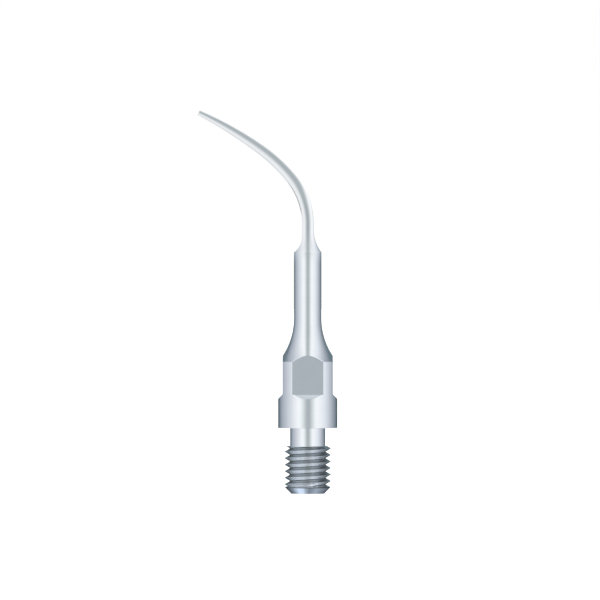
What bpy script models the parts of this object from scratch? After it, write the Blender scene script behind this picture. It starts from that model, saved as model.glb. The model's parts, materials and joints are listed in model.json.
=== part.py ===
"""Ultrasonic scaler tip: a one-piece, screw-in stainless insert for a dental scaler handpiece.

The tip stands on its threaded end.  The axis of the thread is Z, the thread's end face is z = 0,
the working end bends towards -X, and the bend lies in the XZ plane.  Units are metres.
"""
import math

import bmesh
import bpy

MM = 0.001

# Thread M3.5 x 0.5, right-handed
THREAD_MAJOR_RADIUS = 1.77 * MM
THREAD_PITCH = 0.50 * MM
THREAD_ROOT_RADIUS = 1.375 * MM
THREAD_HALF_ANGLE = math.radians(30.0)
THREAD_TOP = 3.63 * MM
THREAD_CHAMFER = 0.50 * MM
GROOVE_START = -0.29 * MM            # height of the groove's root at +X, below the end face
GROOVE_TURNS = 9
GROOVE_PROUD = 0.02 * MM             # how far the cutter stands outside the crests
THREAD_START = 0.51 * MM             # the groove's first turn runs out on a cone from here
THREAD_START_ANGLE = math.radians(10.0)

# Neck, seat and collar
NECK_RADIUS = 1.345 * MM
SEAT_HEIGHT = 5.03 * MM
SEAT_RELIEF_RADIUS = 1.80 * MM
SEAT_RELIEF_DEPTH = 0.10 * MM
COLLAR_RADIUS = 2.27 * MM
EDGE_BREAK = 0.05 * MM

# Four wrench flats, milled into the collar's upper part
ACROSS_FLATS = 3.85 * MM
FLAT_BOTTOM = 7.60 * MM
FLAT_CUTTER_TOP = 11.2 * MM
FLAT_CUTTER_REACH = 1.0 * MM

# Shank and the flare that joins it to the collar
FLARE_BOTTOM = 10.10 * MM
SHANK_RADIUS = 1.05 * MM
SHANK_BOTTOM = 13.45 * MM
SHANK_TOP = 18.48 * MM

# Round fillet from the shank to the working end, and the relief on the concave side
FILLET_RADIUS = 2.90 * MM
RELIEF_RADIUS = 1.36 * MM
RELIEF_CLEARANCE = 0.005 * MM
BLEND_LEDGE = 0.010 * MM             # the fillet stops this far outside the working end

# Working end: a straight root, then three tangent arcs towards -X
WORK_ROOT_RADIUS = 0.455 * MM
WORK_TIP_RADIUS = 0.200 * MM
WORK_TAPER_POWER = 2.4
WORK_END_ROUND = 0.06 * MM
WORK_ROOT_START = 19.40 * MM
WORK_BEND_START = 20.69 * MM
WORK_ARCS = (                        # length along the arc, angle turned
    (3.75 * MM, math.radians(39.4)),
    (3.29 * MM, math.radians(14.8)),
    (5.52 * MM, math.radians(10.4)),
)
WORK_STEP = 0.42 * MM                # spacing of the sections along the working end

# Water channel
BORE_RADIUS = 0.40 * MM
BORE_DEPTH = 17.0 * MM
DRILL_POINT = math.radians(59.0)     # half the drill's point angle
OUTLET_RADIUS = 0.22 * MM
OUTLET_TILT = math.radians(27.0)     # from the tip's axis, towards -X
OUTLET_LENGTH = 3.2 * MM

# Facets
ROUND_SEGMENTS = 72
THREAD_SEGMENTS = 72
BORE_SEGMENTS = 32
OUTLET_SEGMENTS = 24
ARC_STEP = 0.32 * MM                 # length of an arc's straight pieces
FILLET_STEP = 0.20 * MM
RELIEF_STEP = 0.107 * MM
END_ROUND_SHARES = (1.0, 0.5, 0.2, 0.0)   # of WORK_END_ROUND, where its sections lie
OVERLAP = 0.5 * MM                   # how far cutters reach outside the metal

PART_NAME = "ultrasonic_scaler_tip"
NODE_NAME = "scaler_tip"


def clear_scene():
    """Remove every object, so that the script starts from an empty scene."""
    for leftover in list(bpy.data.objects):
        bpy.data.objects.remove(leftover, do_unlink=True)


def new_collection(name, hidden=False):
    collection = bpy.data.collections.new(name)
    collection.hide_render = hidden
    bpy.context.scene.collection.children.link(collection)
    return collection


def steel():
    """Bright turned stainless steel."""
    material = bpy.data.materials.new("stainless_steel")
    material.use_nodes = True
    shader = material.node_tree.nodes["Principled BSDF"]
    shader.inputs["Base Color"].default_value = (0.60, 0.63, 0.66, 1.0)
    shader.inputs["Metallic"].default_value = 1.0
    shader.inputs["Roughness"].default_value = 0.25
    return material


def mesh_object(name, mesh, collection):
    made = bpy.data.objects.new(name, mesh)
    collection.objects.link(made)
    return made


def as_cutter(cutter):
    cutter.hide_render = True
    cutter.display_type = "WIRE"
    return cutter


def applied(source, name, collection):
    """Turn an object with modifiers, or a curve, into a plain closed mesh object."""
    graph = bpy.context.evaluated_depsgraph_get()
    mesh = bpy.data.meshes.new_from_object(source.evaluated_get(graph))
    edit = bmesh.new()
    edit.from_mesh(mesh)
    bmesh.ops.remove_doubles(edit, verts=edit.verts, dist=1e-7)
    bmesh.ops.holes_fill(edit, edges=edit.edges, sides=0)
    bmesh.ops.recalc_face_normals(edit, faces=edit.faces)
    edit.to_mesh(mesh)
    edit.free()
    made = mesh_object(name, mesh, collection)
    made.matrix_world = source.matrix_world
    bpy.data.objects.remove(source, do_unlink=True)
    return made


def arc(centre, radius, start, end, spacing=ARC_STEP):
    """Points of a circular arc in the (radius, height) plane, both ends included."""
    count = max(2, math.ceil(abs(end - start) * radius / spacing))
    angles = [start + (end - start) * i / count for i in range(count + 1)]
    return [(centre[0] + radius * math.cos(a), centre[1] + radius * math.sin(a)) for a in angles]


def outline_object(name, points, collection, closed=False):
    """Edges through (x, z) points in the XZ plane, for a Screw modifier to turn."""
    mesh = bpy.data.meshes.new(name)
    edges = [(i, i + 1) for i in range(len(points) - 1)]
    if closed:
        edges.append((len(points) - 1, 0))
    mesh.from_pydata([(x, 0.0, z) for x, z in points], edges, [])
    return mesh_object(name, mesh, collection)


def turned(name, points, collection, segments):
    """Turn an outline, which starts and ends on the Z axis, into a solid of revolution."""
    blank = outline_object(name + "_outline", points, collection)
    screw = blank.modifiers.new("turning", "SCREW")
    screw.axis = "Z"
    screw.steps = segments
    screw.render_steps = segments
    screw.use_merge_vertices = True
    screw.merge_threshold = 1e-7
    return applied(blank, name, collection)


def flare_arc():
    """Concave arc from the collar's edge up to the shank, tangent to the shank."""
    rise = SHANK_BOTTOM - FLARE_BOTTOM
    inset = COLLAR_RADIUS - SHANK_RADIUS
    radius = (rise ** 2 + inset ** 2) / (2.0 * inset)
    centre = (SHANK_RADIUS + radius, SHANK_BOTTOM)
    return arc(centre, radius, math.pi + math.asin(rise / radius), math.pi)


def fillet_arc():
    """Concave arc from the shank's top edge in to the working end's root."""
    centre_radius = WORK_ROOT_RADIUS + FILLET_RADIUS
    centre_height = SHANK_TOP + math.sqrt(
        FILLET_RADIUS ** 2 - (centre_radius - SHANK_RADIUS) ** 2)
    start = math.pi + math.acos((centre_radius - SHANK_RADIUS) / FILLET_RADIUS)
    end = math.pi + math.acos((FILLET_RADIUS - BLEND_LEDGE) / FILLET_RADIUS)
    return arc((centre_radius, centre_height), FILLET_RADIUS, start, end, FILLET_STEP)


def blank_outline():
    """The turned blank, from the thread's end face up to the working end's root."""
    points = [
        (0.0, 0.0),
        (THREAD_MAJOR_RADIUS - THREAD_CHAMFER, 0.0),
        (THREAD_MAJOR_RADIUS, THREAD_CHAMFER),
        (THREAD_MAJOR_RADIUS, THREAD_TOP),
        (NECK_RADIUS, THREAD_TOP),
        (NECK_RADIUS, SEAT_HEIGHT + SEAT_RELIEF_DEPTH),
        (SEAT_RELIEF_RADIUS, SEAT_HEIGHT + SEAT_RELIEF_DEPTH),
        (SEAT_RELIEF_RADIUS, SEAT_HEIGHT),
        (COLLAR_RADIUS - EDGE_BREAK, SEAT_HEIGHT),
        (COLLAR_RADIUS, SEAT_HEIGHT + EDGE_BREAK),
    ]
    points += flare_arc()
    points += fillet_arc()
    points.append((0.0, points[-1][1]))
    return points


def work_end_sections():
    """Places (x, z) and radii of the sections along the working end's bent centreline."""
    bent_length = sum(length for length, _ in WORK_ARCS)
    straight = WORK_BEND_START - WORK_ROOT_START
    places = [(0.0, WORK_ROOT_START)]
    travelled = [-straight]
    position = [0.0, WORK_BEND_START]
    heading = 0.0
    done = 0.0
    places.append(tuple(position))
    travelled.append(0.0)
    for length, turn in WORK_ARCS:
        count = round(length / WORK_STEP)
        chord = length / count
        for _ in range(count):
            heading += 0.5 * turn / count
            position[0] -= chord * math.sin(heading)
            position[1] += chord * math.cos(heading)
            heading += 0.5 * turn / count
            done += chord
            places.append(tuple(position))
            travelled.append(done)
    # The last section is replaced by a few that round the end off.
    end = places.pop()
    travelled.pop()
    for share in END_ROUND_SHARES:
        back = share * WORK_END_ROUND
        places.append((end[0] + back * math.sin(heading), end[1] - back * math.cos(heading)))
        travelled.append(bent_length - back)
    sections = []
    for place, along in zip(places, travelled):
        share = max(0.0, along / bent_length)
        taper = (WORK_ROOT_RADIUS - WORK_TIP_RADIUS) * share ** WORK_TAPER_POWER
        into_round = max(0.0, 1.0 - (bent_length - along) / WORK_END_ROUND)
        rounding = WORK_END_ROUND * (1.0 - math.sqrt(1.0 - into_round ** 2))
        sections.append((place, WORK_ROOT_RADIUS - taper - rounding))
    return sections


def working_end(collection):
    """The bent, tapered rod that touches the tooth, as a bevelled curve."""
    sections = work_end_sections()
    curve = bpy.data.curves.new("working_end_path", "CURVE")
    curve.dimensions = "3D"
    curve.bevel_depth = WORK_ROOT_RADIUS
    curve.bevel_resolution = 6
    curve.use_fill_caps = True
    spline = curve.splines.new("POLY")
    spline.points.add(len(sections) - 1)
    for point, ((x, z), radius) in zip(spline.points, sections):
        point.co = (x, 0.0, z, 1.0)
        point.radius = radius / WORK_ROOT_RADIUS
    path = bpy.data.objects.new("working_end_path", curve)
    collection.objects.link(path)
    return as_cutter(applied(path, "working_end", collection))


def thread_groove(collection):
    """Helical V groove whose turns leave narrow flat crests between them."""
    outer = THREAD_MAJOR_RADIUS + GROOVE_PROUD
    half_width = (outer - THREAD_ROOT_RADIUS) * math.tan(THREAD_HALF_ANGLE)
    section = [
        (THREAD_ROOT_RADIUS, GROOVE_START),
        (outer, GROOVE_START + half_width),
        (outer, GROOVE_START - half_width),
    ]
    groove = outline_object("thread_groove_section", section, collection, closed=True)
    screw = groove.modifiers.new("helix", "SCREW")
    screw.axis = "Z"
    screw.screw_offset = THREAD_PITCH
    screw.iterations = GROOVE_TURNS
    screw.steps = THREAD_SEGMENTS
    screw.render_steps = THREAD_SEGMENTS
    groove = as_cutter(applied(groove, "thread_groove", collection))
    combine(groove, thread_start(collection), "DIFFERENCE")
    return groove


def thread_start(collection):
    """The space below the groove's first turn: a blunt cone, so the end chamfer stays whole."""
    slope = math.tan(THREAD_START_ANGLE)
    rim = THREAD_MAJOR_RADIUS + OVERLAP
    outline = [
        (0.0, GROOVE_START - 2.0 * OVERLAP),
        (rim, GROOVE_START - 2.0 * OVERLAP),
        (rim, THREAD_START - OVERLAP * slope),
        (0.0, THREAD_START + THREAD_MAJOR_RADIUS * slope),
    ]
    start = as_cutter(turned("thread_start", outline, collection, ROUND_SEGMENTS))
    start.rotation_euler.z = math.pi / ROUND_SEGMENTS
    return start


def extruded(name, points, width, collection):
    """A flat outline in the XZ plane, given thickness evenly to both sides along Y."""
    curve = bpy.data.curves.new(name, "CURVE")
    curve.dimensions = "2D"
    curve.fill_mode = "BOTH"
    curve.extrude = 0.5 * width
    spline = curve.splines.new("POLY")
    spline.points.add(len(points) - 1)
    spline.use_cyclic_u = True
    for point, (x, z) in zip(spline.points, points):
        point.co = (x, z, 0.0, 1.0)
    slab = bpy.data.objects.new(name + "_outline", curve)
    slab.rotation_euler = (math.radians(90.0), 0.0, 0.0)
    collection.objects.link(slab)
    bpy.context.view_layer.update()
    return as_cutter(applied(slab, name, collection))


def wrench_flat(index, collection):
    """One flat with a 45 degree run-out at its lower end, turned to its side of the collar."""
    flat = 0.5 * ACROSS_FLATS
    outer = flat + FLAT_CUTTER_REACH
    outline = [
        (flat, FLAT_BOTTOM),
        (outer, FLAT_BOTTOM - FLAT_CUTTER_REACH),
        (outer, FLAT_CUTTER_TOP),
        (flat, FLAT_CUTTER_TOP),
    ]
    cutter = extruded(f"wrench_flat_{index}", outline, 4.0 * COLLAR_RADIUS, collection)
    cutter.rotation_euler = (math.radians(90.0), 0.0, 0.5 * math.pi * index)
    return cutter


def concave_relief(collection):
    """Cut across the concave side, which makes the fillet there tighter."""
    wall = -(WORK_ROOT_RADIUS + RELIEF_CLEARANCE)
    rise = math.sqrt(RELIEF_RADIUS ** 2 - (RELIEF_RADIUS - (SHANK_RADIUS + wall)) ** 2)
    centre = (wall - RELIEF_RADIUS, SHANK_TOP + rise)
    foot = math.asin((rise + 2.0 * EDGE_BREAK) / RELIEF_RADIUS)
    outline = arc(centre, RELIEF_RADIUS, -foot, 0.0, RELIEF_STEP)
    outline.append((wall, WORK_BEND_START))
    outline.append((wall - RELIEF_RADIUS, WORK_BEND_START))
    outline.append((wall - RELIEF_RADIUS, outline[0][1]))
    return extruded("concave_relief", outline, 4.0 * SHANK_RADIUS, collection)


def water_bore(collection):
    """Blind axial hole from the thread's end face, with a drill point."""
    point_length = BORE_RADIUS / math.tan(DRILL_POINT)
    outline = [
        (0.0, -OVERLAP),
        (BORE_RADIUS, -OVERLAP),
        (BORE_RADIUS, BORE_DEPTH),
        (0.0, BORE_DEPTH + point_length),
    ]
    return as_cutter(turned("water_bore", outline, collection, BORE_SEGMENTS))


def water_outlet(collection):
    """Small slanted hole from the bore's top out through the relief."""
    bpy.ops.mesh.primitive_cylinder_add(
        vertices=OUTLET_SEGMENTS, radius=OUTLET_RADIUS, depth=OUTLET_LENGTH)
    outlet = bpy.context.object
    outlet.name = "water_outlet"
    for owner in list(outlet.users_collection):
        owner.objects.unlink(outlet)
    collection.objects.link(outlet)
    reach = 0.5 * OUTLET_LENGTH
    outlet.location = (-reach * math.sin(OUTLET_TILT), 0.0,
                       BORE_DEPTH + reach * math.cos(OUTLET_TILT))
    outlet.rotation_euler = (0.0, -OUTLET_TILT, 0.0)
    return as_cutter(outlet)


def combine(target, other, operation):
    boolean = target.modifiers.new(other.name, "BOOLEAN")
    boolean.operation = operation
    boolean.solver = "EXACT"
    boolean.object = other


def build():
    clear_scene()
    parts = new_collection(PART_NAME)
    cutters = new_collection("cutters", hidden=True)
    tip = turned(NODE_NAME, blank_outline(), parts, ROUND_SEGMENTS)
    tip.data.materials.append(steel())
    combine(tip, working_end(cutters), "UNION")
    combine(tip, concave_relief(cutters), "DIFFERENCE")
    for index in range(4):
        combine(tip, wrench_flat(index, cutters), "DIFFERENCE")
    combine(tip, thread_groove(cutters), "DIFFERENCE")
    combine(tip, water_bore(cutters), "DIFFERENCE")
    combine(tip, water_outlet(cutters), "DIFFERENCE")


build()
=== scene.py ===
"""Looks of the ultrasonic scaler tip: a fine steel skin over the CAD part, and its studio."""

import json
import math

import bpy
import numpy as np
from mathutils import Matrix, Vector
from mathutils.bvhtree import BVHTree


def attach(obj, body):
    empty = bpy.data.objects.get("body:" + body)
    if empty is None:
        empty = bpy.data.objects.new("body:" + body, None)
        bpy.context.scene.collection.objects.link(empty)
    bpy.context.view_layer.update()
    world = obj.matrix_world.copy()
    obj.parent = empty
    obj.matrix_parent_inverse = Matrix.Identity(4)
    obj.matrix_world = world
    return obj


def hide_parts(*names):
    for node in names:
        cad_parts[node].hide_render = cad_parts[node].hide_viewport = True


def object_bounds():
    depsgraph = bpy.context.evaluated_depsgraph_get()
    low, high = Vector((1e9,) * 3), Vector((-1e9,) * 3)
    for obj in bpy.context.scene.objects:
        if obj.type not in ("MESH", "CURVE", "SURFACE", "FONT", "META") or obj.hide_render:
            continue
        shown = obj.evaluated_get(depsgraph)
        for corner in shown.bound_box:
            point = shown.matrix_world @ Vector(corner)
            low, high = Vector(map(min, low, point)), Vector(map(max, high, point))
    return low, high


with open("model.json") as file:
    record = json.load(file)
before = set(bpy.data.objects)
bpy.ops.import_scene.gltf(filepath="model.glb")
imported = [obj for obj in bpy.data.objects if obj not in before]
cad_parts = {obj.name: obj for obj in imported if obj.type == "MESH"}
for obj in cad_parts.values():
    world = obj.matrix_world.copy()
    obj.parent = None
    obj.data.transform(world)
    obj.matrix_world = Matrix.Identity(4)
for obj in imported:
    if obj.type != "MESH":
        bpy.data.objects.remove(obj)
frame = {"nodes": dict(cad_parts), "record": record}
CAD_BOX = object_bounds()

MM = 0.001
NODE = "scaler_tip"
MOUNTS = {mount["name"]: mount for mount in frame["record"]["mounts"]}

# Sizes, in millimetres.  Those that the frame states come from it.
SEAT_HEIGHT = MOUNTS["seat"]["pos_m"][2] / MM
HALF_FLATS = MOUNTS["wrench_flat_back"]["pos_m"][1] / MM
COLLAR_RADIUS = CAD_BOX[1].x / MM
THREAD_RADIUS = 1.77
THREAD_PITCH = 0.50
THREAD_FLANK = math.radians(30.0)     # slope of the V's flanks, from straight out
THREAD_ROOT = 1.375
THREAD_TOP = 3.63
THREAD_CHAMFER = 0.50
GROOVE_AT_X = 0.21                    # height of a groove's root on the +X side
THREAD_START = 0.51                   # the groove's first turn runs out on a cone from this height
THREAD_START_SLOPE = math.radians(10.0)
NECK_RADIUS = 1.345
SEAT_RELIEF = 1.80
SEAT_RELIEF_DEPTH = 0.10
FLAT_BOTTOM = 7.60
FLARE_BOTTOM = 10.10
SHANK_BOTTOM = 13.45
SHANK_RADIUS = 1.05
SHANK_TOP = 18.48
FILLET_RADIUS = 2.90
RELIEF_RADIUS = 1.36
RELIEF_CLEAR = 0.003                  # the relief stops this far short of the working end
WORK_RADIUS = 0.455
WORK_TIP_RADIUS = 0.200
WORK_TAPER_POWER = 2.4
WORK_BEND_START = 20.69
WORK_ARCS = ((3.75, math.radians(39.4)), (3.29, math.radians(14.8)), (5.52, math.radians(10.4)))
BORE_RADIUS = 0.40
BORE_DEPTH = 17.0
DRILL_POINT = math.radians(59.0)
OUTLET_RADIUS = 0.22
OUTLET_TILT = math.radians(27.0)

# Widths that edges are rounded over
EDGE = 0.03                           # the turned edges
MILLED_EDGE = 0.008                   # the edges of the wrench flats
RELIEF_EDGE = 0.01
THREAD_ROOT_EDGE = 0.012
THREAD_CREST_EDGE = 0.015
THREAD_START_EDGE = 0.01
CHAMFER_EDGE = 0.02
WORK_END_ROUND = 0.06

# Fineness of the skin: spacings of its rows, and counts of steps
ROUND_EDGE_STEPS = 4
FLARE_STEPS = 40
FILLET_STEPS = 30
END_ROUND_STEPS = 6
STRAIGHT_STEPS = 4                    # from the fillet to the bend
FLANK_ROWS = (0.012, 0.03, 0.06)      # off each root and crest of the thread
WORK_ROW = 0.12
FINE_ROW = 0.03                       # at the ends of the wrench flats
BODY_ROW = 0.35
BORE_ROW = 0.5
SHANK_ROW = 0.6
FILLET_ROW = 0.05
HALVED_ROWS = (0.4, 0.6)              # above the flare: the first rows with half the columns
FLAT_EDGE_BAND = 1.5                  # degrees of fine columns to each side of a flat's edge
END_FACE_RING = 0.8                   # radius where the end face's columns double
CLOSE = 1e-4                          # heights nearer than this are one


# ---------------------------------------------------------------- outlines

def soft_min(a, b, width):
    """The smaller of two lengths, with the edge between them rounded over a width."""
    return 0.5 * (a + b - np.sqrt((a - b) ** 2 + width ** 2))


def soft_max(a, b, width):
    return 0.5 * (a + b + np.sqrt((a - b) ** 2 + width ** 2))


def arc(centre, radius, start, end, count):
    angles = np.linspace(start, end, count + 1)
    return [(centre[0] + radius * math.cos(a), centre[1] + radius * math.sin(a)) for a in angles]


def rounded(points, radius=EDGE):
    """A polyline with each inner corner replaced by a small arc."""
    out = [points[0]]
    for before, corner, after in zip(points, points[1:], points[2:]):
        c = np.array(corner)
        u = np.array(before) - c
        v = np.array(after) - c
        reach_u = np.linalg.norm(u)
        reach_v = np.linalg.norm(v)
        u = u / reach_u
        v = v / reach_v
        half = 0.5 * math.acos(np.clip(u @ v, -1.0, 1.0))
        back = min(radius / math.tan(half), 0.45 * reach_u, 0.45 * reach_v)
        if back < 0.1 * radius:
            out.append(corner)
            continue
        for share in np.linspace(0.0, 1.0, ROUND_EDGE_STEPS + 1):
            near = (1.0 - share) ** 2 * u + share ** 2 * v
            out.append(tuple(c + back * near))
    out.append(points[-1])
    return out


def divided(points, spacing):
    """A polyline with its long stretches divided, to at most the spacing at their height."""
    out = [points[0]]
    for start, end in zip(points, points[1:]):
        length = math.dist(start, end)
        middle = 0.5 * (start[1] + end[1])
        parts = max(1, math.ceil(length / spacing(middle) - 1e-6))
        for i in range(1, parts + 1):
            share = i / parts
            out.append((start[0] + share * (end[0] - start[0]),
                        start[1] + share * (end[1] - start[1])))
    return out


def flare_outline():
    rise = SHANK_BOTTOM - FLARE_BOTTOM
    inset = COLLAR_RADIUS - SHANK_RADIUS
    radius = (rise ** 2 + inset ** 2) / (2.0 * inset)
    start = math.pi + math.asin(rise / radius)
    return arc((SHANK_RADIUS + radius, SHANK_BOTTOM), radius, start, math.pi, FLARE_STEPS)


def fillet_top():
    reach = WORK_RADIUS + FILLET_RADIUS - SHANK_RADIUS
    return SHANK_TOP + math.sqrt(FILLET_RADIUS ** 2 - reach ** 2)


def fillet_outline():
    centre = (WORK_RADIUS + FILLET_RADIUS, fillet_top())
    start = math.pi + math.acos((centre[0] - SHANK_RADIUS) / FILLET_RADIUS)
    return arc(centre, FILLET_RADIUS, start, math.pi, FILLET_STEPS)


# ---------------------------------------------------------------- limits that the cuts set

def flats_limit(angles, height):
    """How far out the four wrench flats and their 45 degree run-outs let the metal reach."""
    run_out = soft_max(FLAT_BOTTOM - height, 0.0, MILLED_EDGE)
    nearest = np.maximum(np.abs(np.cos(angles)), np.abs(np.sin(angles)))
    return (HALF_FLATS + run_out) / nearest


def relief_limit(angles, height):
    """How far out the relief across the concave side lets the metal reach."""
    wall = WORK_RADIUS + RELIEF_CLEAR
    reach = RELIEF_RADIUS - (SHANK_RADIUS - wall)
    centre_height = SHANK_TOP + math.sqrt(RELIEF_RADIUS ** 2 - reach ** 2)
    below = min(max(centre_height - height, 0.0), RELIEF_RADIUS)
    wall += RELIEF_RADIUS - math.sqrt(RELIEF_RADIUS ** 2 - below ** 2)
    towards = np.maximum(-np.cos(angles), 1e-3)      # the far side is left out of reach
    return wall / towards


def start_cone(heights):
    """The blunt cone that the groove's first turn runs out on."""
    return THREAD_RADIUS - (heights - THREAD_START) / math.tan(THREAD_START_SLOPE)


def thread_radius(angles, heights):
    """The thread's surface: V grooves, a little round at root and crest, and the end chamfer."""
    phase = heights - GROOVE_AT_X - THREAD_PITCH * angles / (2.0 * math.pi)
    off_root = np.abs((phase + 0.5 * THREAD_PITCH) % THREAD_PITCH - 0.5 * THREAD_PITCH)
    out = np.sqrt(off_root ** 2 + THREAD_ROOT_EDGE ** 2) - THREAD_ROOT_EDGE
    groove = THREAD_ROOT + out / math.tan(THREAD_FLANK)
    ridge = soft_max(groove, start_cone(heights), THREAD_START_EDGE)
    ridge = soft_min(ridge, THREAD_RADIUS, THREAD_CREST_EDGE)
    chamfer = THREAD_RADIUS - THREAD_CHAMFER + heights
    return soft_min(ridge, chamfer, CHAMFER_EDGE)


def ledge_end(angles):
    """Height, at each angle, where the cone at the thread's start meets the groove."""
    lowest, highest, step = 0.01, 0.12, 0.001        # above the start: where it is looked for
    usual = 0.08                                     # and what is taken where they don't meet
    apart = 0.012
    rises = np.linspace(lowest, highest, round((highest - lowest) / step) + 1)
    heights = THREAD_START + rises[:, None]
    parted = thread_radius(angles[None, :], heights) - start_cone(heights) > apart
    first = heights[np.argmax(parted, axis=0), 0]
    return np.where(parted.any(axis=0), first, THREAD_START + usual)


def quadrant_angles():
    """Column angles: fine beside the flats' upright edges, and the same in each quarter."""
    edge = math.degrees(math.acos(HALF_FLATS / COLLAR_RADIUS))
    near, far = edge - FLAT_EDGE_BAND, edge + FLAT_EDGE_BAND
    stretches = ((-45.0, -far, 6), (-far, -near, 6), (-near, near, 40),
                 (near, far, 6), (far, 45.0, 6))
    quarter = np.concatenate([np.linspace(start, end, count, endpoint=False)
                              for start, end, count in stretches])
    return np.radians(np.concatenate([quarter + 90.0 * k for k in range(4)]))


# ---------------------------------------------------------------- the skin

class Skin:
    """Rings of points joined one after another into a closed surface."""

    def __init__(self):
        self.points = []
        self.faces = []
        self.last = None

    def put(self, points):
        first = len(self.points)
        self.points.extend(np.asarray(points, float).reshape(-1, 3).tolist())
        return list(range(first, len(self.points)))

    def ring(self, points):
        new = self.put(points)
        if self.last is not None:
            self.join(self.last, new)
        self.last = new

    def face(self, *corners):
        unique = list(dict.fromkeys(corners))
        if len(unique) > 2:
            self.faces.append(unique)

    def join(self, a, b):
        """Faces between two rings, of as many points, or of twice as many, or of a single one."""
        if len(a) == 1:
            for j in range(len(b)):
                self.face(a[0], b[(j + 1) % len(b)], b[j])
        elif len(b) == 1:
            for j in range(len(a)):
                self.face(a[j], a[(j + 1) % len(a)], b[0])
        elif len(a) == len(b):
            for j in range(len(a)):
                k = (j + 1) % len(a)
                self.face(a[j], a[k], b[k], b[j])
        elif len(a) == 2 * len(b):
            for j in range(len(b)):
                k = (j + 1) % len(b)
                middle = a[2 * j + 1]
                self.face(a[2 * j], middle, b[j])
                self.face(middle, b[k], b[j])
                self.face(middle, a[2 * k], b[k])
        else:
            for j in range(len(a)):
                k = (j + 1) % len(a)
                middle = b[2 * j + 1]
                self.face(b[2 * j], a[j], middle)
                self.face(middle, a[j], a[k])
                self.face(middle, a[k], b[2 * k])


def circle(angles, radius, height):
    radius = radius * np.ones_like(angles)
    height = height * np.ones_like(angles)
    return np.stack([radius * np.cos(angles), radius * np.sin(angles), height], axis=1)


def add_thread(skin, angles):
    """The thread, on rows that climb with its helix, so that crest and root run along rows."""
    count = len(angles)
    turn = np.append(angles - angles[0], 2.0 * math.pi) / (2.0 * math.pi)
    base = angles[0] / (2.0 * math.pi)
    crest = 0.5 * THREAD_PITCH
    flank = (THREAD_RADIUS - THREAD_ROOT) * math.tan(THREAD_FLANK)
    near, next_row, inner = FLANK_ROWS
    side = np.concatenate([[0.0, near, next_row], np.linspace(inner, flank - next_row, 3),
                           [flank - near, flank, 0.5 * (flank + crest)]])
    offsets = np.concatenate([-side[:0:-1], side, [crest]])
    spare = 3                                        # turns of rows past each end, cut off there
    turns = range(-spare, int(THREAD_TOP / THREAD_PITCH) + spare)
    rows = np.concatenate([GROOVE_AT_X + THREAD_PITCH * (k + base) + offsets for k in turns])
    heights = rows[:, None] + THREAD_PITCH * turn[None, :]
    level = np.ones(count)
    for feature in (THREAD_CHAMFER * level, THREAD_START * level, ledge_end(angles)):
        nearest = np.argmin(np.abs(heights[:, :count] - feature), axis=0)
        heights[nearest, np.arange(count)] = feature
    bottom = skin.last
    top = skin.put(circle(angles, thread_radius(angles, THREAD_TOP), THREAD_TOP))

    def end_point(height, column):
        if height <= CLOSE:
            return bottom[column]
        if height >= THREAD_TOP - CLOSE:
            return top[column]
        return None

    index = np.full(heights.shape, -1)
    for i, j in np.ndindex(len(heights), count):
        height = heights[i, j]
        point = end_point(height, j)
        if point is None:
            radius = thread_radius(angles[j], height)
            point = skin.put(circle(angles[j:j + 1], radius, height))[0]
        index[i, j] = point
    for i in range(len(heights)):                    # a row ends where the next turn's row starts
        point = end_point(heights[i, count], 0)
        index[i, count] = index[i + len(offsets), 0] if point is None else point
    for i, j in np.ndindex(len(heights) - 1, count):
        skin.face(index[i, j], index[i, j + 1], index[i + 1, j + 1], index[i + 1, j])
    skin.last = top


def bend(steps_for):
    """Places along the bent part: the centreline's point in the XZ plane, heading and length."""
    position = np.array([0.0, WORK_BEND_START])
    heading = 0.0
    along = 0.0
    places = [(position.copy(), heading, along)]
    for length, turn in WORK_ARCS:
        steps = steps_for(length)
        for _ in range(steps):
            heading += 0.5 * turn / steps
            position += length / steps * np.array([-math.sin(heading), math.cos(heading)])
            heading += 0.5 * turn / steps
            along += length / steps
            places.append((position.copy(), heading, along))
    return places


def add_working_end(skin, angles):
    """The bent, tapered working end, from the fillet's top to its rounded end."""
    straight = WORK_BEND_START - fillet_top()
    for i in range(1, STRAIGHT_STEPS):
        skin.ring(circle(angles, WORK_RADIUS, fillet_top() + straight * i / STRAIGHT_STEPS))
    bent = sum(length for length, _ in WORK_ARCS)
    places = bend(lambda length: round(length / WORK_ROW))
    end, heading, _ = places.pop()
    for lean in np.linspace(0.0, 0.5 * math.pi, END_ROUND_STEPS + 1):
        back = WORK_END_ROUND * (1.0 - math.sin(lean))
        place = end + back * np.array([math.sin(heading), -math.cos(heading)])
        places.append((place, heading, bent - back))
    for place, heading, along in places:
        taper = (WORK_RADIUS - WORK_TIP_RADIUS) * (along / bent) ** WORK_TAPER_POWER
        near_end = max(0.0, 1.0 - (bent - along) / WORK_END_ROUND)
        radius = WORK_RADIUS - taper - WORK_END_ROUND * (1.0 - math.sqrt(1.0 - near_end ** 2))
        out = radius * np.cos(angles)
        x = place[0] + out * math.cos(heading)
        z = place[1] + out * math.sin(heading)
        skin.ring(np.stack([x, radius * np.sin(angles), z], axis=1))
    skin.ring([[end[0], 0.0, end[1]]])


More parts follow.
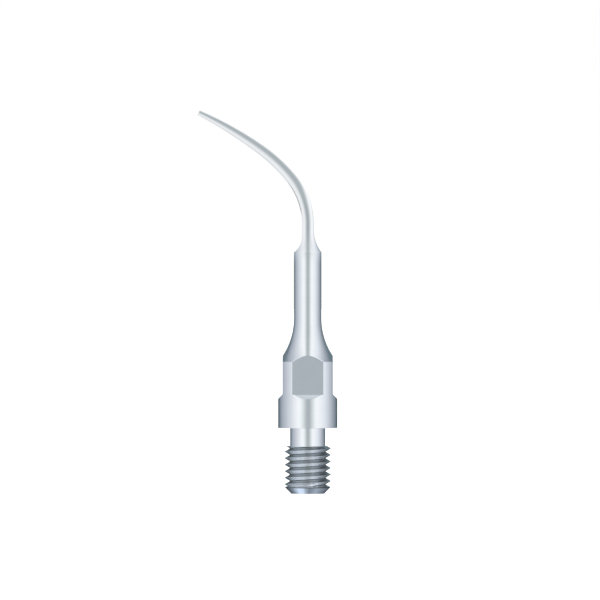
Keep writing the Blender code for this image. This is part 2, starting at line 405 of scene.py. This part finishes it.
def skin_mesh():
    """The whole tip as one closed mesh, in metres."""
    fine = quadrant_angles()
    half = fine[::2]
    quarter = fine[::4]
    skin = Skin()
    skin.ring([[0.0, 0.0, BORE_DEPTH + BORE_RADIUS / math.tan(DRILL_POINT)]])
    bore = [(BORE_RADIUS, BORE_DEPTH), (BORE_RADIUS, 0.0), (END_FACE_RING, 0.0)]
    for radius, height in divided(rounded(bore), lambda z: BORE_ROW)[:-1]:
        skin.ring(circle(quarter, radius, height))
    skin.ring(circle(half, END_FACE_RING, 0.0))
    end_radius = thread_radius(fine, 0.0)
    skin.ring(circle(fine, end_radius - 2.0 * EDGE, 0.0))
    skin.ring(circle(fine, end_radius, 0.0))
    add_thread(skin, fine)
    top_radius = thread_radius(fine, THREAD_TOP)
    for share in (0.1, 0.9):
        skin.ring(circle(fine, top_radius + share * (NECK_RADIUS - top_radius), THREAD_TOP))
    body = rounded([
        (NECK_RADIUS, THREAD_TOP),
        (NECK_RADIUS, SEAT_HEIGHT + SEAT_RELIEF_DEPTH),
        (SEAT_RELIEF, SEAT_HEIGHT + SEAT_RELIEF_DEPTH),
        (SEAT_RELIEF, SEAT_HEIGHT),
        (COLLAR_RADIUS, SEAT_HEIGHT),
        (COLLAR_RADIUS, FLARE_BOTTOM),
        flare_outline()[1],
    ])
    outline = body[:-1] + flare_outline()[1:]

    def spacing(height):
        by_flat_bottom = FLAT_BOTTOM - 0.45 < height < FLAT_BOTTOM + 0.1
        by_flat_top = FLARE_BOTTOM - 0.1 < height < FLARE_BOTTOM + 0.6
        return FINE_ROW if by_flat_bottom or by_flat_top else BODY_ROW

    for radius, height in divided(outline, spacing):
        radii = radius * np.ones_like(fine)
        if height > FLAT_BOTTOM - 0.5:
            radii = soft_min(radii, flats_limit(fine, height), MILLED_EDGE)
        skin.ring(circle(fine, radii, height))
    first, second = (SHANK_BOTTOM + rise for rise in HALVED_ROWS)
    skin.ring(circle(half, SHANK_RADIUS, first))
    fillet = fillet_outline()
    shoulder = rounded([(SHANK_RADIUS, second), (SHANK_RADIUS, SHANK_TOP), fillet[1]])
    upper = divided(shoulder[:-1] + fillet[1:],
                    lambda z: SHANK_ROW if z < SHANK_TOP - 0.1 else FILLET_ROW)
    for radius, height in upper:
        radii = radius * np.ones_like(half)
        if height > SHANK_TOP - 0.2:
            radii = soft_min(radii, relief_limit(half, height), RELIEF_EDGE)
        skin.ring(circle(half, radii, height))
    add_working_end(skin, half)
    mesh = bpy.data.meshes.new("scaler_tip_skin")
    mesh.from_pydata((np.array(skin.points) * MM).tolist(), [], skin.faces)
    mesh.validate()
    mesh.update()
    return mesh


def bored(piece):
    """Drill the slanted water outlet from the bore's top out through the relief."""
    length = 3.2 * MM
    sides = 50                 # so that no edge lies in the bend's plane, as some of the skin's do
    bpy.ops.mesh.primitive_cylinder_add(vertices=sides, radius=OUTLET_RADIUS * MM, depth=length)
    drill = bpy.context.object
    reach = 0.5 * length
    drill.location = (-reach * math.sin(OUTLET_TILT), 0.0,
                      BORE_DEPTH * MM + reach * math.cos(OUTLET_TILT))
    drill.rotation_euler = (0.0, -OUTLET_TILT, 0.0)
    cut = piece.modifiers.new("outlet", "BOOLEAN")
    cut.operation = "DIFFERENCE"
    cut.solver = "EXACT"
    cut.object = drill
    graph = bpy.context.evaluated_depsgraph_get()
    mesh = bpy.data.meshes.new_from_object(piece.evaluated_get(graph))
    piece.modifiers.clear()
    piece.data = mesh
    bpy.data.objects.remove(drill, do_unlink=True)


# ---------------------------------------------------------------- materials

class Nodes:
    """Short hand for building a node tree."""

    def __init__(self, tree):
        self.tree = tree
        self.tree.nodes.clear()

    def add(self, kind, settings=None, **inputs):
        node = self.tree.nodes.new(kind)
        for name, value in (settings or {}).items():
            setattr(node, name, value)
        for name, value in inputs.items():
            by_number = name[0] == "i" and name[1:].isdigit()
            key = int(name[1:]) if by_number else name.replace("_", " ")
            self.feed(node.inputs[key], value)
        return node

    def feed(self, socket, value):
        if isinstance(value, bpy.types.NodeSocket):
            self.tree.links.new(value, socket)
        elif isinstance(value, bpy.types.Node):
            self.tree.links.new(value.outputs[0], socket)
        elif socket.type == "RGBA" and len(value) == 3:
            socket.default_value = (*value, 1.0)
        else:
            socket.default_value = value

    def math(self, operation, a, b=0.0):
        return self.add("ShaderNodeMath", {"operation": operation}, i0=a, i1=b).outputs[0]

    def mix(self, share, low, high):
        """Plain numbers mixed by a share."""
        node = self.add("ShaderNodeMix", {"data_type": "FLOAT"})
        self.feed(node.inputs[0], share)
        self.feed(node.inputs[2], low)
        self.feed(node.inputs[3], high)
        return node.outputs[0]

    def mix_colour(self, share, low, high, blend="MIX"):
        node = self.add("ShaderNodeMix", {"data_type": "RGBA", "blend_type": blend})
        self.feed(node.inputs[0], share)
        self.feed(node.inputs[6], low)
        self.feed(node.inputs[7], high)
        return node.outputs[2]

    def fade(self, value, start, end):
        """0 where value is at start, 1 where it is at end, smooth between."""
        node = self.add("ShaderNodeMapRange", {"interpolation_type": "SMOOTHSTEP"}, Value=value)
        node.inputs[1].default_value = start
        node.inputs[2].default_value = end
        return node.outputs[0]

    def halved(self, value):
        """-1 to 1 brought to 0 to 1."""
        half = self.add("ShaderNodeMath", {"operation": "MULTIPLY_ADD"}, i0=value, i1=0.5, i2=0.5)
        return half.outputs[0]

    def vector(self, operation, a, b=(0.0, 0.0, 0.0)):
        return self.add("ShaderNodeVectorMath", {"operation": operation}, i0=a, i1=b).outputs[0]

    def scaled(self, a, factor):
        node = self.add("ShaderNodeVectorMath", {"operation": "SCALE"}, i0=a, Scale=factor)
        return node.outputs[0]

    def measure(self, operation, a, b=(0.0, 0.0, 0.0)):
        """A vector operation that gives a plain number."""
        node = self.add("ShaderNodeVectorMath", {"operation": operation}, i0=a, i1=b)
        return node.outputs["Value"]

    def noise(self, place, scale, detail, roughness):
        return self.add("ShaderNodeTexNoise", Vector=place, Scale=scale, Detail=detail,
                        Roughness=roughness).outputs[0]

    def ramp(self, value, stops, signed=False):
        """A level or colour by value, smooth between the stops; signed stops run from -1 to 1."""
        node = self.add("ShaderNodeValToRGB", Fac=value)
        ramp = node.color_ramp
        ramp.interpolation = "EASE"
        while len(ramp.elements) > 1:
            ramp.elements.remove(ramp.elements[-1])
        for i, (place, level) in enumerate(stops):
            place = 0.5 * (place + 1.0) if signed else place
            element = ramp.elements[0] if i == 0 else ramp.elements.new(place)
            element.position = place
            colour = level if isinstance(level, tuple) else (level,) * 3
            element.color = (*colour, 1.0)
        return node.outputs[0]


def new_material(name):
    material = bpy.data.materials.new(name)
    material.use_nodes = True
    return material, Nodes(material.node_tree)


def steel(name, base, roughness, marks, marks_depth, shade=None):
    """Stainless steel: marks gives the tool marks' height, 0 to 1, from place and radius in mm.

    shade, if given, is painted light and shade: a colour that the metal's own is multiplied by, from
    the same.
    """
    material, n = new_material(name)
    place = n.add("ShaderNodeTexCoord").outputs["Object"]
    in_mm = n.scaled(place, 1.0 / MM)
    axes = n.add("ShaderNodeSeparateXYZ", Vector=in_mm)
    x, y, z = axes.outputs[0], axes.outputs[1], axes.outputs[2]
    radius = n.math("SQRT", n.math("ADD", n.math("MULTIPLY", x, x), n.math("MULTIPLY", y, y)))
    height = marks(n, x, y, z, radius)
    cloud = n.noise(in_mm, scale=0.9, detail=3.0, roughness=0.6)
    smudge = n.noise(in_mm, scale=3.5, detail=4.0, roughness=0.65)
    tone = n.mix(cloud, 0.96, 1.03)
    tone = n.math("MULTIPLY", tone, n.mix(height, 0.97, 1.02))
    colour = n.mix_colour(1.0, base, tone, "MULTIPLY")
    if shade is not None:
        colour = n.mix_colour(1.0, colour, shade(n, x, y, z, radius), "MULTIPLY")
    rough = n.math("MULTIPLY", n.mix(smudge, 0.85, 1.2), n.mix(height, 1.12, 0.92))
    rough = n.math("MULTIPLY", rough, roughness)
    bump = n.add("ShaderNodeBump", Height=height)
    bump.inputs["Strength"].default_value = 1.0
    bump.inputs["Distance"].default_value = marks_depth * MM
    shader = n.add("ShaderNodeBsdfPrincipled", Base_Color=colour, Roughness=rough, Metallic=1.0)
    n.feed(shader.inputs["Normal"], bump.outputs[0])
    output = n.add("ShaderNodeOutputMaterial")
    n.feed(output.inputs["Surface"], shader.outputs[0])
    return material


def thread_shade(n, x, y, z, radius):
    """Painted light and shade along the thread: each groove's upper flank has a painted highlight.

    The rest has painted shade, darkest in the roots and at the chamfer's rim; the crest, the chamfer
    and the cone at the thread's start take set levels of it. The bands are a guess: in a studio they
    may come from the light alone.
    """
    turns = n.math("DIVIDE", n.math("ARCTAN2", y, x), 2.0 * math.pi)
    pitches = n.math("DIVIDE", n.math("SUBTRACT", z, GROOVE_AT_X), THREAD_PITCH)
    phase = n.math("FRACT", n.math("ADD", n.math("SUBTRACT", pitches, turns), 1.0))
    # Painted light and shade: a painted highlight on each groove's upper flank, painted shade on the
    # lower one, darker painted shade in the roots and along the chamfer's rim, and set levels of it
    # on the crest, the chamfer and the cone at the thread's start.
    painted_flank_shade = (0.37, 0.395, 0.395)
    root = (0.16, 0.175, 0.175)
    crest = (0.57, 0.60, 0.60)
    bright = (1.0, 1.0, 1.0)
    chamfer = (0.82, 0.82, 0.82)
    rim = (0.12, 0.13, 0.13)
    ledge = (0.60, 0.62, 0.62)
    painted_bands = n.ramp(phase, (
        (0.0, root), (0.028, root), (0.04, bright), (0.45, bright), (0.48, crest),
        (0.52, crest), (0.545, painted_flank_shade), (0.96, painted_flank_shade), (0.972, root)))
    depth = n.math("SUBTRACT", THREAD_RADIUS, radius)
    start = n.math("MULTIPLY", depth, math.tan(THREAD_START_SLOPE))
    above_start = n.math("SUBTRACT", n.math("SUBTRACT", z, THREAD_START), start)
    to_rim = n.fade(z, THREAD_CHAMFER - 0.09, THREAD_CHAMFER - 0.02)
    to_ledge = n.fade(z, THREAD_START, THREAD_START + 0.01)
    below = n.mix_colour(to_ledge, n.mix_colour(to_rim, chamfer, rim), ledge)
    return n.mix_colour(n.fade(above_start, 0.01, 0.03), below, painted_bands)


def milled_shade(n, x, y, z, radius):
    """Painted highlight: the run-outs are brightest where they meet the flats."""
    return n.ramp(n.math("SUBTRACT", FLAT_BOTTOM, z), (
        (0.0, 1.0), (0.04, 1.04), (0.09, 1.22), (0.20, 1.08), (0.32, 1.03)))


def turning_marks(n, x, y, z, radius):
    """Fine rings left by the lathe tool, on cylinders, cones and faces alike."""
    rings = n.add("ShaderNodeCombineXYZ", X=radius, Y=z, Z=0.0)
    fine = n.noise(rings, scale=55.0, detail=2.0, roughness=0.6)
    broad = n.noise(rings, scale=9.0, detail=2.0, roughness=0.5)
    return n.mix(0.35, fine, broad)


def milling_marks(n, x, y, z, radius):
    """Fine upright lines left by the side mill on the flats."""
    across, along = 30.0, 2.0              # bumps per mm
    lines = n.add("ShaderNodeCombineXYZ", X=n.math("MULTIPLY", x, across),
                  Y=n.math("MULTIPLY", y, across), Z=n.math("MULTIPLY", z, along))
    return n.noise(lines, scale=1.0, detail=3.0, roughness=0.6)


def polishing_marks(n, x, y, z, radius):
    """Faint scratches along the working end."""
    around = n.add("ShaderNodeAttribute", {"attribute_name": "around"}).outputs["Fac"]
    along = n.add("ShaderNodeAttribute", {"attribute_name": "along"}).outputs["Fac"]
    lines = n.add("ShaderNodeCombineXYZ", X=n.math("MULTIPLY", around, 9.0),
                  Y=n.math("MULTIPLY", along, 0.8), Z=0.0)
    return n.noise(lines, scale=1.0, detail=3.0, roughness=0.6)


BRIGHT_STEEL = (0.69, 0.71, 0.733)
THREAD_STEEL = (0.95, 0.95, 0.95)
MILLED_STEEL = (0.645, 0.667, 0.70)
BORED_STEEL = (0.30, 0.31, 0.32)


def steel_finishes():
    """The finishes, in the order of the names below."""
    return [
        steel("turned_steel", BRIGHT_STEEL, 0.16, turning_marks, 0.0012),
        # The thread's and the milled run-outs' shades are painted light and shade.
        steel("thread_steel", THREAD_STEEL, 0.13, turning_marks, 0.0002, thread_shade),
        steel("milled_steel", MILLED_STEEL, 0.20, milling_marks, 0.0010, milled_shade),
        steel("polished_steel", BRIGHT_STEEL, 0.17, polishing_marks, 0.0003),
        steel("bored_steel", BORED_STEEL, 0.35, turning_marks, 0.0020),
    ]


TURNED, THREAD, MILLED, POLISHED, BORED = range(5)


def assign_finishes(mesh):
    """Each face takes the finish of the operation that made it."""
    count = len(mesh.polygons)
    centres = np.zeros(count * 3)
    mesh.polygons.foreach_get("center", centres)
    x, y, z = (centres.reshape(-1, 3) / MM).T
    radius = np.hypot(x, y)
    finish = np.full(count, TURNED)
    finish[(z < THREAD_TOP + 0.001) & (z > 0.001)] = THREAD
    run_out = np.maximum(FLAT_BOTTOM - z, 0.0)
    on_flat = np.abs(np.maximum(np.abs(x), np.abs(y)) - HALF_FLATS - run_out) < 0.012
    finish[on_flat & (z > FLAT_BOTTOM - 0.4) & (z < FLARE_BOTTOM + 0.5)] = MILLED
    finish[z > SHANK_TOP + 0.02] = POLISHED
    finish[(radius < BORE_RADIUS + 0.01) & (z < BORE_DEPTH + 0.3)] = BORED
    mesh.polygons.foreach_set("material_index", finish.astype(np.int32))


def centreline(lowest, samples):
    """Rows of the working end's centreline: x, z, heading and length, which is 0 at the bend."""
    straight = WORK_BEND_START - lowest
    shares = [i / samples for i in range(samples)]
    rows = [(0.0, lowest + straight * share, 0.0, straight * (share - 1.0)) for share in shares]
    rows.extend((*place, heading, along) for place, heading, along in bend(lambda length: samples))
    return np.array(rows)


def add_polish_coordinates(mesh):
    """Store, per point, the length along the working end and the angle around it."""
    count = len(mesh.vertices)
    flat = np.zeros(count * 3)
    mesh.vertices.foreach_get("co", flat)
    places = flat.reshape(-1, 3) / MM
    lowest = fillet_top() - 1.0
    path = centreline(lowest, samples=60)
    along = np.zeros(count, np.float32)
    around = np.zeros(count, np.float32)
    for i in np.nonzero(places[:, 2] > lowest)[0]:
        p = places[i]
        row = path[np.argmin((path[:, 0] - p[0]) ** 2 + (path[:, 1] - p[2]) ** 2)]
        out = (p[0] - row[0]) * math.cos(row[2]) + (p[2] - row[1]) * math.sin(row[2])
        along[i] = row[3]
        around[i] = abs(math.atan2(p[1], out))
    for name, values in (("along", along), ("around", around)):
        mesh.attributes.new(name, "FLOAT", "POINT").data.foreach_set("value", values)


# ---------------------------------------------------------------- the piece

def check_against_cad(piece):
    """Stop if the skin strays from the CAD solid that it stands for."""
    every, most = 23, 0.06 * MM
    cad = frame["nodes"][NODE].data
    tree = BVHTree.FromPolygons([v.co for v in cad.vertices],
                                [tuple(p.vertices) for p in cad.polygons])
    looked_at = [vertex.co for vertex in list(piece.data.vertices)[::every]]
    distances = [tree.find_nearest(place)[3] for place in looked_at]
    worst = max(distances)
    if worst > most:
        where = looked_at[distances.index(worst)]
        raise RuntimeError(f"the skin is {worst / MM:.3f} mm off the CAD at {where / MM}")


def scaler_tip():
    piece = bpy.data.objects.new("scaler_tip_steel", skin_mesh())
    bpy.context.scene.collection.objects.link(piece)
    bored(piece)
    for material in steel_finishes():
        piece.data.materials.append(material)
    assign_finishes(piece.data)
    add_polish_coordinates(piece.data)
    piece.data.polygons.foreach_set("use_smooth", np.ones(len(piece.data.polygons), bool))
    piece.data.set_sharp_from_angle(angle=math.radians(40.0))
    normals = piece.modifiers.new("weighted_normals", "WEIGHTED_NORMAL")
    normals.keep_sharp = True
    normals.weight = 50
    check_against_cad(piece)
    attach(piece, "root")
    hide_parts(NODE)
    return piece


# ---------------------------------------------------------------- studio

AIM = Vector((-0.590, 0.0, 14.83)) * MM          # the picture's centre
PICTURE_WIDTH = 45.98 * MM                       # at the tip's axis
LENS = 400.0
SENSOR = 36.0


def camera():
    data = bpy.data.cameras.new("camera")
    data.lens = LENS
    data.sensor_width = SENSOR
    data.clip_start = 0.01
    data.clip_end = 50.0
    made = bpy.data.objects.new("camera", data)
    distance = PICTURE_WIDTH * LENS / SENSOR
    made.location = AIM + Vector((0.0, -distance, 0.0))
    made.rotation_euler = (math.radians(90.0), 0.0, 0.0)
    bpy.context.scene.collection.objects.link(made)
    bpy.context.scene.camera = made
    return made


def only_reflected(thing):
    """Show a thing only in what the steel mirrors."""
    thing.visible_camera = False
    thing.visible_diffuse = False
    thing.visible_shadow = False
    thing.visible_transmission = False


TENT_RADIUS = 60.0 * MM
TENT_STRENGTH = 1.45
BODY_CARDS = 0.96                                # brightness of what the turned body mirrors
OPEN_WHITE = 1.05                                # and of what the working end mirrors
SOURCE_RADIUS = 0.75 * MM                        # about where mirrored rays start, from the axis


def body_tent(n, turn):
    """What the turned body mirrors: a grey gap in front, a white card on each side, dark beyond."""
    level = n.ramp(n.halved(turn), (
        (-1.0, 0.06), (-0.87, 0.10), (-0.80, 0.21), (-0.74, 0.30), (-0.69, 0.41), (-0.65, 0.465),
        (-0.55, 0.56), (-0.47, 0.66), (-0.38, 0.75), (-0.30, 0.85), (-0.23, 0.94), (-0.18, 0.97),
        (-0.13, 0.87), (-0.08, 0.69), (-0.03, 0.50), (0.01, 0.445), (0.04, 0.465), (0.10, 0.70),
        (0.17, 0.95), (0.23, 0.95), (0.30, 0.895), (0.38, 0.84), (0.47, 0.71), (0.55, 0.56),
        (0.66, 0.39), (0.76, 0.255), (0.84, 0.13), (0.90, 0.07), (1.0, 0.05)), signed=True)
    return n.math("MULTIPLY", level, BODY_CARDS)


def facet_tent(n, turn):
    """What the 45 degree run-outs of the flats mirror, from above."""
    return n.ramp(n.math("ABSOLUTE", turn), ((0.0, 0.65), (0.3, 0.64), (0.7, 0.28), (1.0, 0.10)))


def chamfer_tent(n, turn):
    """What the end chamfer mirrors, from below: one bluish card on the left."""
    return n.ramp(n.halved(turn), (
        (-0.80, 0.08), (-0.62, 0.14), (-0.50, 0.26), (-0.39, 0.52), (-0.28, 0.78), (-0.16, 0.74),
        (-0.05, 0.38), (0.04, 0.22), (0.16, 0.30), (0.28, 0.38), (0.39, 0.31), (0.50, 0.22),
        (0.66, 0.15), (0.80, 0.08)), signed=True)


def thread_tent(n, turn, up):
    """What the thread mirrors.

    A line of sight leaves a groove after two or three reflections: upwards if the groove's upper
    flank is what is seen, and downwards, where it is darker, if its lower flank is.
    """
    darker = n.mix(n.fade(up, -0.08, -0.35), 1.0, 0.25)
    level = n.ramp(n.halved(turn), (
        (-1.0, 0.06), (-0.84, 0.20), (-0.67, 0.64), (-0.50, 1.14), (-0.33, 1.46), (-0.17, 1.45),
        (-0.02, 1.05), (0.04, 1.08), (0.17, 1.50), (0.33, 1.16), (0.50, 0.63), (0.67, 0.43),
        (0.82, 0.14), (1.0, 0.05)), signed=True)
    return n.math("MULTIPLY", level, darker)


def open_tent(n, facing, turn, up, left_at):
    """What the working end mirrors: white, with a soft grey gap.

    The gap stands upright in front of the root.  For the bent part above it, it is a round patch,
    up and to the right.
    """
    patch = Vector((0.26, -0.90, 0.34)).normalized()
    patch_scale = 0.66 / (0.5 * math.pi)
    upright_at = 0.02
    near_patch = n.math("MINIMUM", n.measure("DOT_PRODUCT", facing, patch), 1.0)
    off_patch = n.math("MULTIPLY", n.math("ARCCOSINE", near_patch), patch_scale)
    off_upright = n.math("ABSOLUTE", n.math("SUBTRACT", turn, upright_at))
    bent = n.fade(left_at, (WORK_BEND_START + 0.2) * MM, (WORK_BEND_START + 4.4) * MM)
    gap = n.ramp(n.mix(bent, off_upright, off_patch), (
        (0.0, 0.44), (0.05, 0.455), (0.095, 0.475), (0.14, 0.53), (0.19, 0.63), (0.235, 0.72),
        (0.28, 0.81), (0.33, 0.90), (0.38, 0.95), (0.46, 0.985), (0.56, 1.0)))
    beyond = n.ramp(n.halved(up), (
        (-0.8, 0.70), (-0.65, 0.735), (-0.5, 0.81), (-0.25, 0.865), (0.0, 0.875), (0.35, 0.93),
        (0.7, 0.95)), signed=True)
    left_side = n.ramp(n.halved(turn), (
        (-0.85, 0.86), (-0.52, 0.90), (-0.30, 1.0)), signed=True)
    level = n.math("MULTIPLY", n.math("MULTIPLY", gap, beyond), left_side)
    right_side = n.ramp(turn, ((0.62, 1.0), (0.72, 0.84), (0.86, 0.50), (1.0, 0.30)))
    level = n.math("MULTIPLY", level, n.mix(bent, right_side, 1.0))
    down = n.math("MULTIPLY", up, -1.0)              # the inside of the bend has a dark edge
    shaded = n.math("MULTIPLY", n.fade(down, 0.08, 0.18), n.fade(down, 0.58, 0.50))
    shaded = n.math("MULTIPLY", shaded, n.fade(turn, -0.60, -0.74))
    return n.math("MULTIPLY", level, n.mix(shaded, OPEN_WHITE, 0.35))


def followed_back(n, ray, facing):
    """Height that a mirrored ray left the tip at, from where it meets the tent."""
    flat = (1.0, 1.0, 0.0)
    shortest_run = 0.02
    place = n.add("ShaderNodeTexCoord").outputs["Object"]
    level_ray = n.vector("MULTIPLY", ray, flat)
    level_facing = n.vector("NORMALIZE", n.vector("MULTIPLY", facing, flat))
    source = n.vector("MULTIPLY", level_facing, (SOURCE_RADIUS,) * 3)
    path = n.vector("SUBTRACT", n.vector("MULTIPLY", place, flat), source)
    reach = n.measure("DOT_PRODUCT", path, n.vector("NORMALIZE", level_ray))
    run = n.math("MAXIMUM", n.measure("LENGTH", level_ray), shortest_run)
    rise = n.math("DIVIDE", n.add("ShaderNodeSeparateXYZ", Vector=ray).outputs[2], run)
    height = n.add("ShaderNodeSeparateXYZ", Vector=place).outputs[2]
    return n.math("SUBTRACT", height, n.math("MULTIPLY", reach, rise))


def tent_material():
    """The tent's brightness, by the way that the mirroring surface faces and by its height.

    A mirrored ray shows both: the surface faces halfway between the ray and the viewer, and the ray
    can be followed back to the tip.  No real tent could tell the tip's parts apart in this way.  The
    levels are set to give each part about the tones that the photograph shows on it.
    """
    material, n = new_material("light_tent")
    geometry = n.add("ShaderNodeNewGeometry")
    to_rig = n.add("ShaderNodeVectorTransform",
                   {"vector_type": "VECTOR", "convert_from": "WORLD", "convert_to": "OBJECT"},
                   Vector=geometry.outputs["Incoming"])
    ray = n.vector("NORMALIZE", n.scaled(to_rig.outputs[0], -1.0))
    viewer = (0.0, -1.0, 0.0)
    facing = n.vector("NORMALIZE", n.vector("ADD", ray, viewer))
    axes = n.add("ShaderNodeSeparateXYZ", Vector=facing)
    across, up = axes.outputs[0], axes.outputs[2]
    towards = n.math("MULTIPLY", axes.outputs[1], -1.0)
    turn = n.math("DIVIDE", n.math("ARCTAN2", across, towards), 0.5 * math.pi)
    apart = n.math("ABSOLUTE", turn)
    left_at = followed_back(n, ray, facing)

    # The flare mirrors the cards higher up, where they stand closer and end sooner.
    closest, dark_floor = 0.85, 0.20
    below_shoulder = n.fade(left_at, (SHANK_TOP - 1.3) * MM, (SHANK_TOP - 2.5) * MM)
    shift = n.math("MULTIPLY", n.math("POWER", n.math("MAXIMUM", up, 0.0), 3.0), closest)
    shift = n.math("MULTIPLY", shift, n.fade(apart, 0.01, 0.11))
    shift = n.math("MULTIPLY", shift, below_shoulder)
    shifted = n.math("ADD", turn, n.math("MULTIPLY", shift, n.math("SIGN", turn)))
    level = n.math("MAXIMUM", body_tent(n, shifted), n.mix(n.fade(up, 0.05, 0.40), 0.0, dark_floor))

    # The 45 degree faces are told by their slope, and the thread by its height.
    level = n.mix(n.fade(up, 0.665, 0.695), level, facet_tent(n, turn))
    slope = n.math("ABSOLUTE", up)
    thread_limit = n.mix(n.fade(slope, 0.10, 0.30), THREAD_TOP - 0.04, THREAD_TOP + 0.60)
    below_limit = n.math("SUBTRACT", thread_limit, n.math("DIVIDE", left_at, MM))
    on_thread = n.math("MULTIPLY", n.fade(below_limit, -0.03, 0.03), n.fade(up, 0.62, 0.58))
    level = n.mix(on_thread, level, thread_tent(n, turn, up))
    on_chamfer = n.fade(up, -0.60, -0.66)
    level = n.mix(on_chamfer, level, chamfer_tent(n, turn))
    above_shoulder = n.fade(left_at, (SHANK_TOP - 1.1) * MM, (SHANK_TOP + 1.9) * MM)
    level = n.mix(above_shoulder, level, open_tent(n, facing, turn, up, left_at))

    tint = n.ramp(n.math("ABSOLUTE", shifted), (
        (0.0, (0.88, 0.965, 1.0)), (0.10, (0.955, 1.0, 1.0)), (0.20, (0.975, 0.99, 1.0)),
        (0.30, (0.96, 0.978, 1.0)), (0.40, (0.923, 0.953, 1.0)), (0.50, (0.88, 0.922, 1.0)),
        (0.60, (0.84, 0.90, 1.0)), (0.70, (0.77, 0.87, 1.0)), (0.80, (0.67, 0.88, 1.0)),
        (1.0, (0.63, 0.89, 1.0))))
    thread_tint = n.ramp(apart, ((0.0, (0.874, 0.905, 1.0)), (0.45, (0.81, 0.862, 1.0)),
                                 (0.67, (0.772, 0.877, 1.0)), (1.0, (0.79, 0.917, 1.0))))
    tint = n.mix_colour(on_thread, tint, thread_tint)
    chamfer_blue, gap_grey, white = (0.76, 0.91, 1.12), (0.90, 0.98, 1.0), (1.0, 1.0, 1.0)
    tint = n.mix_colour(on_chamfer, tint, chamfer_blue)
    open_tint = n.mix_colour(n.fade(level, 0.45, 0.75), gap_grey, white)
    tint = n.mix_colour(above_shoulder, tint, open_tint)
    colour = n.mix_colour(1.0, tint, level, "MULTIPLY")
    light = n.add("ShaderNodeEmission", Color=colour, Strength=TENT_STRENGTH)
    output = n.add("ShaderNodeOutputMaterial")
    n.feed(output.inputs["Surface"], light.outputs[0])
    material.cycles.emission_sampling = "NONE"       # only mirrored rays find it: no grain
    return material


def lights(viewer):
    """A tent on a rig that stays upright and turns with the camera."""
    rig = bpy.data.objects.new("light_rig", None)
    bpy.context.scene.collection.objects.link(rig)
    follow = rig.constraints.new("COPY_ROTATION")
    follow.target = viewer
    follow.use_x = False
    follow.use_y = False
    bpy.ops.mesh.primitive_uv_sphere_add(segments=64, ring_count=32, radius=TENT_RADIUS)
    tent = bpy.context.object
    tent.name = "tent"
    tent.data.materials.append(tent_material())
    tent.parent = rig
    only_reflected(tent)


def floor():
    bpy.ops.mesh.primitive_plane_add(size=20.0)
    made = bpy.context.object
    made.name = "floor"
    made.location.z = CAD_BOX[0].z
    made.visible_glossy = False
    material, n = new_material("pale_floor")
    grain = n.add("ShaderNodeTexNoise", Scale=40.0, Detail=2.0).outputs[0]
    shader = n.add("ShaderNodeBsdfPrincipled", Base_Color=(0.8, 0.8, 0.8),
                   Roughness=n.mix(grain, 0.85, 0.95), Emission_Color=(1.0, 1.0, 1.0),
                   Emission_Strength=0.5)
    output = n.add("ShaderNodeOutputMaterial")
    n.feed(output.inputs["Surface"], shader.outputs[0])
    made.data.materials.append(material)


def backdrop():
    world = bpy.data.worlds.new("white_studio")
    world.use_nodes = True
    world.node_tree.nodes["Background"].inputs["Color"].default_value = (1.0, 1.0, 1.0, 1.0)
    bpy.context.scene.world = world
    bpy.context.scene.view_settings.view_transform = "Standard"


scaler_tip()
lights(camera())
floor()
backdrop()
